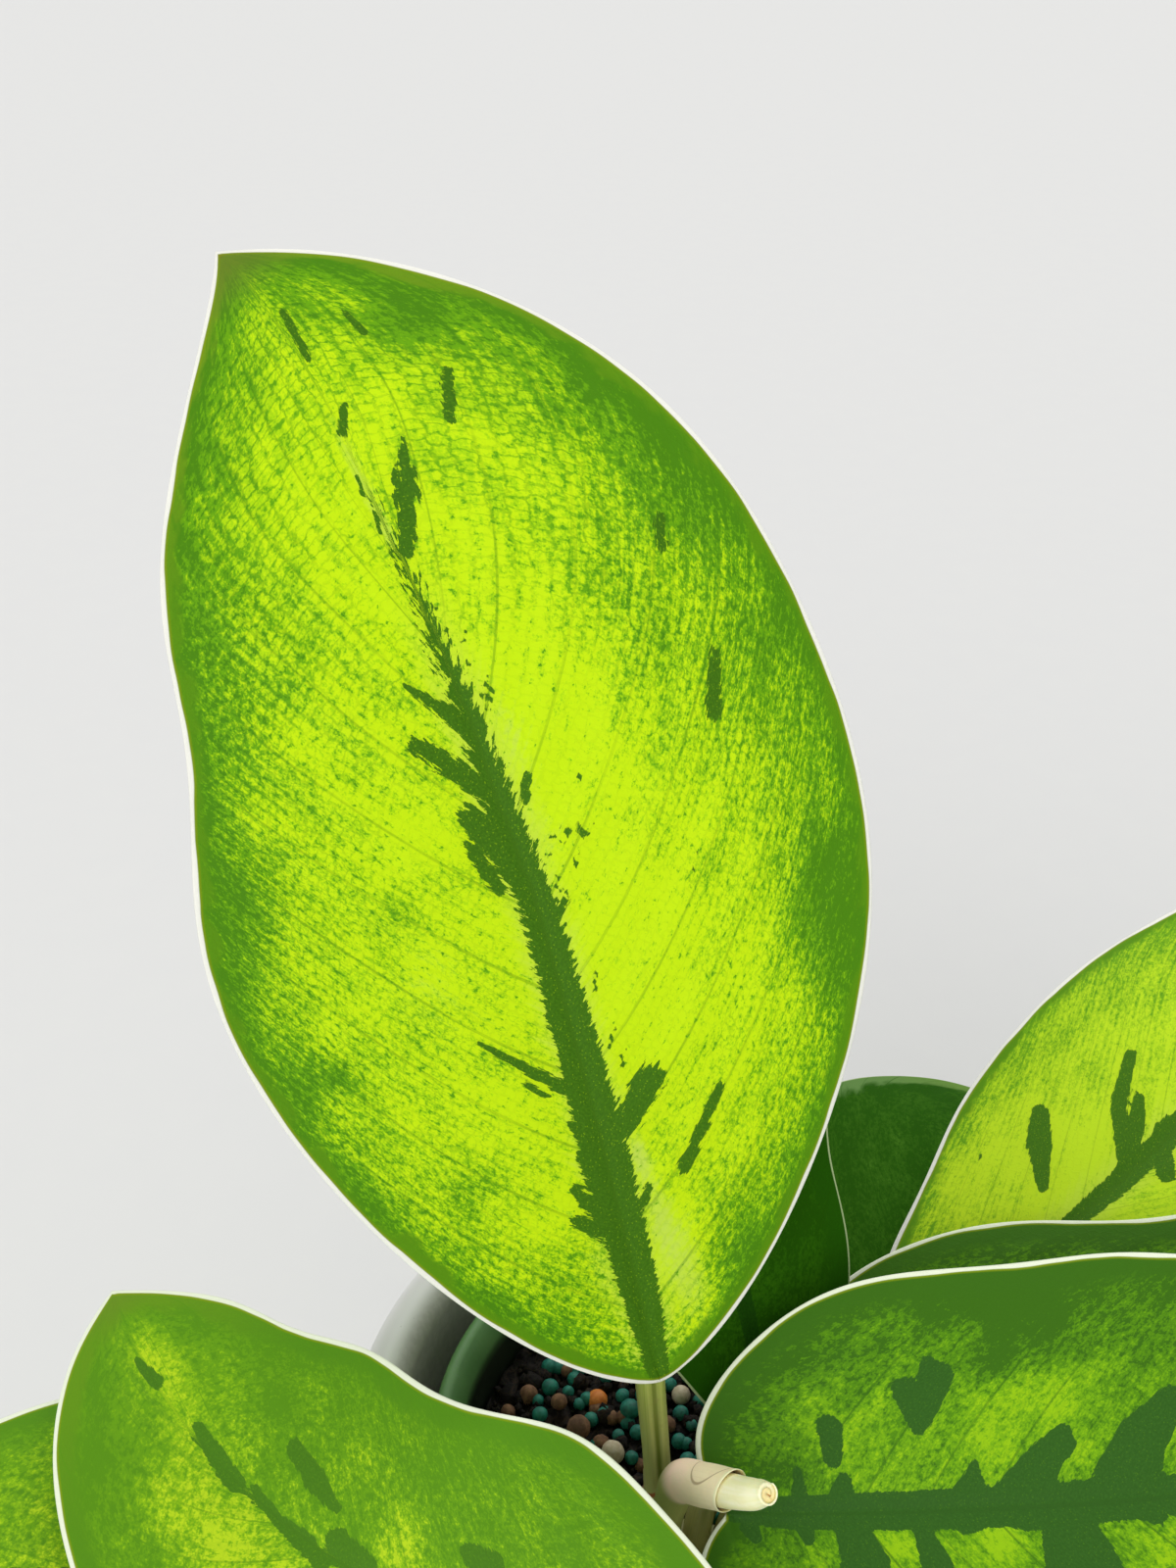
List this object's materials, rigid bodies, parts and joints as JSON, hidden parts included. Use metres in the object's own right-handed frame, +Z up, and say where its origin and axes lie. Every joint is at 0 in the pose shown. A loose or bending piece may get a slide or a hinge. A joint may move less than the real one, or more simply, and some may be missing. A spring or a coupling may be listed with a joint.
{
  "type": "potted homalomena plant",
  "caption": "Variegated aroid house plant with broad pointed leaves and a flower bud, in a nursery pot of bark soil standing inside a round white cachepot.",
  "frame": {"origin": "middle of the cachepot's flat foot", "axes": "+Z up through the pot, +X to the viewer's right in the picture, +Y away from the viewer"},
  "size_m": [0.3193, 0.2764, 0.3043],
  "materials": {
    "cachepot_ceramic": "satin white glaze, dark grey inside",
    "nursery_plastic": "satin dark green",
    "bark_soil": "dark bark crumbs with coloured feed grains",
    "crown_green": "fleshy stem, satin",
    "sleeve_pink": "pinkish beige, satin",
    "spathe_cream": "cream, satin",
    "blade_bright": "chartreuse with a green net, dark splashes and a pale rim, satin",
    "blade_deep": "deep green with lighter marbling and a pale rim, satin",
    "stalk_green": "pale olive green, satin"
  },
  "bodies": {
    "root": {"cachepot": "cachepot_ceramic", "nursery_pot": "nursery_plastic", "soil": "bark_soil", "crown": "crown_green", "flower_sleeve": "sleeve_pink", "flower_spathe": "spathe_cream", "leaf_hero_blade": "blade_bright", "leaf_hero_stalk": "stalk_green", "leaf_front_left_blade": "blade_deep", "leaf_front_left_stalk": "stalk_green", "leaf_far_left_blade": "blade_deep", "leaf_far_left_stalk": "stalk_green", "leaf_right_blade": "blade_deep", "leaf_right_stalk": "stalk_green", "leaf_right_under_blade": "blade_deep", "leaf_right_under_stalk": "stalk_green", "leaf_rear_right_blade": "blade_bright", "leaf_rear_right_stalk": "stalk_green", "leaf_back_blade": "blade_deep", "leaf_back_stalk": "stalk_green", "leaf_behind_hero_blade": "blade_deep", "leaf_behind_hero_stalk": "stalk_green", "leaf_front_blade": "blade_deep", "leaf_front_stalk": "stalk_green", "leaf_back_left_blade": "blade_deep", "leaf_back_left_stalk": "stalk_green"}
  },
  "joints": []
}
